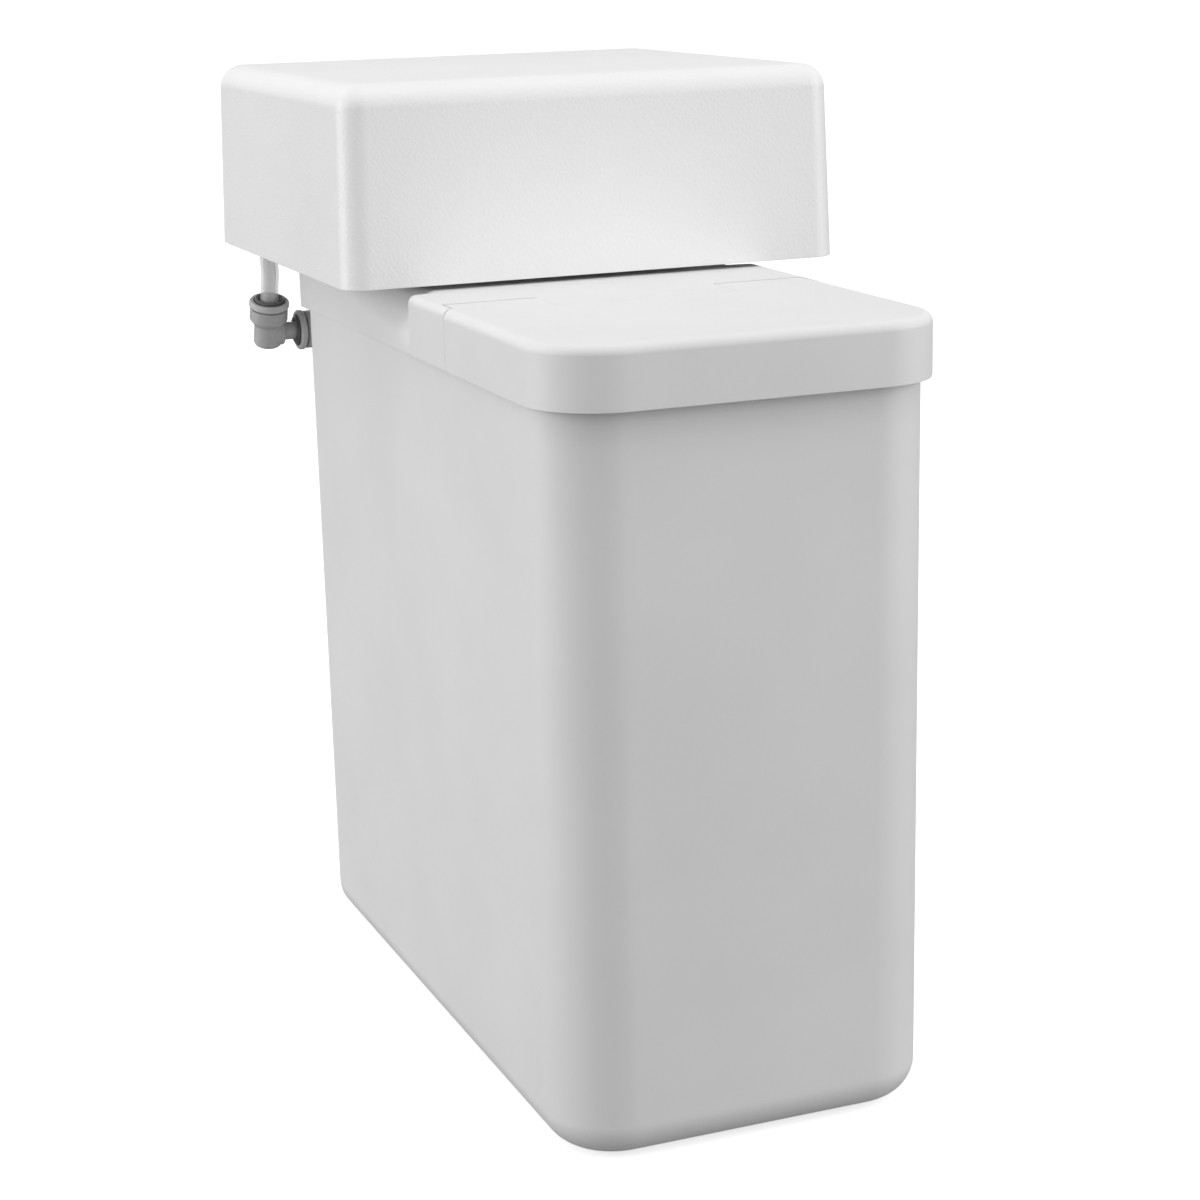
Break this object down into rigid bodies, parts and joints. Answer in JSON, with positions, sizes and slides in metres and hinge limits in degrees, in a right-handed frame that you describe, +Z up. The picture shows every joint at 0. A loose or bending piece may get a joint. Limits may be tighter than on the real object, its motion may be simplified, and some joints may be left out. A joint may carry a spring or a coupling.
{
  "type": "compact block-salt water softener",
  "caption": "Compact water softener: tall rounded brine tank, fixed rear deck with hinged front salt lid, wide lift-off valve cover and a push-fit brine line at the rear.",
  "frame": {"origin": "middle of the tank's flat base", "axes": "+Z up; the front with the salt lid faces -Y; +X is to the right seen from the front"},
  "size_m": [0.27, 0.4602, 0.4914],
  "materials": {
    "white_polypropylene": "satin moulded",
    "grained_white_abs": "fine moulded grain",
    "natural_fibreglass": "satin",
    "black_rubber": "matt",
    "black_glass_filled_nylon": "matt moulded",
    "stainless_steel": "turned",
    "nickelled_brass": "nickel plated",
    "clear_polycarbonate": "clear glossy",
    "natural_polyethylene_tube": "translucent extruded",
    "dark_grey_acetal": "satin moulded",
    "pale_grey_acetal": "satin moulded",
    "grey_acetal": "satin moulded",
    "white_acetal": "satin moulded"
  },
  "bodies": {
    "base": {"brine_tank": "white_polypropylene", "tank_deck": "white_polypropylene", "hinge_pin_left": "stainless_steel", "hinge_pin_right": "stainless_steel", "resin_vessel_left": "natural_fibreglass", "resin_vessel_right": "natural_fibreglass", "vessel_clamp_left": "grey_acetal", "vessel_clamp_right": "grey_acetal", "neck_seal_left": "black_rubber", "neck_seal_right": "black_rubber", "riser_tube_left": "white_acetal", "riser_tube_right": "white_acetal", "strainer_left": "white_acetal", "strainer_right": "white_acetal", "valve_body": "black_glass_filled_nylon", "valve_screw_1": "stainless_steel", "valve_screw_2": "stainless_steel", "valve_screw_3": "stainless_steel", "valve_screw_4": "stainless_steel", "control_head": "grey_acetal", "gear_case": "clear_polycarbonate", "idler_axle": "stainless_steel", "disc_axle": "stainless_steel", "inlet_stub": "nickelled_brass", "outlet_stub": "nickelled_brass", "inlet_union": "nickelled_brass", "outlet_union": "nickelled_brass", "inlet_bend": "grey_acetal", "outlet_bend": "grey_acetal", "brine_tube": "natural_polyethylene_tube", "stem_elbow": "grey_acetal", "stem_lock_ring": "pale_grey_acetal", "tank_elbow": "grey_acetal", "entry_lock_ring": "pale_grey_acetal", "bulkhead_seal": "black_rubber", "bulkhead_nut": "grey_acetal", "pickup_tube": "natural_polyethylene_tube", "float_stop": "grey_acetal", "air_check": "grey_acetal", "brine_well": "white_acetal", "well_cap": "grey_acetal", "salt_platform": "white_acetal", "vessel_guard": "white_acetal", "overflow_spigot": "grey_acetal", "overflow_seal": "black_rubber", "overflow_nut": "grey_acetal"},
    "lid": {"salt_lid": "white_polypropylene"},
    "cover": {"valve_cover": "grained_white_abs"},
    "turbine": {"meter_turbine": "white_acetal", "meter_pinion": "white_acetal"},
    "idler": {"idler_gear": "white_acetal"},
    "disc": {"control_disc": "white_acetal"},
    "float": {"brine_float": "white_acetal"},
    "upright_collet": {"stem_collet": "dark_grey_acetal"},
    "level_collet": {"entry_collet": "dark_grey_acetal"}
  },
  "joints": [
    {"name": "lid_hinge", "type": "hinge", "parent": "base", "child": "lid", "pos_m": [0, -0.055, 0.385], "axis": [-1, 0, 0], "range_deg": [0, 105]},
    {"name": "cover_lift", "type": "slide", "parent": "base", "child": "cover", "axis": [0, 0, 1], "range_m": [0, 0.1]},
    {"name": "turbine_spin", "type": "hinge", "parent": "base", "child": "turbine", "pos_m": [-0.034, 0.095, 0.45], "axis": [0, 0, 1], "continuous": true},
    {"name": "idler_spin", "type": "hinge", "parent": "base", "child": "idler", "pos_m": [-0.01, 0.095, 0.46], "axis": [0, 0, 1], "continuous": true},
    {"name": "disc_spin", "type": "hinge", "parent": "base", "child": "disc", "pos_m": [0.02, 0.095, 0.464], "axis": [0, 0, 1], "continuous": true},
    {"name": "float_slide", "type": "slide", "parent": "base", "child": "float", "axis": [0, 0, 1], "range_m": [0, 0.165]},
    {"name": "upright_collet_push", "type": "slide", "parent": "base", "child": "upright_collet", "axis": [0, 0.309, -0.9511], "range_m": [0, 0.0015]},
    {"name": "level_collet_push", "type": "slide", "parent": "base", "child": "level_collet", "axis": [1, 0, 0], "range_m": [0, 0.0015]}
  ],
  "couplings": [
    {"joint": "idler_spin", "follows": "disc_spin", "ratio": -4},
    {"joint": "turbine_spin", "follows": "disc_spin", "ratio": 12}
  ]
}
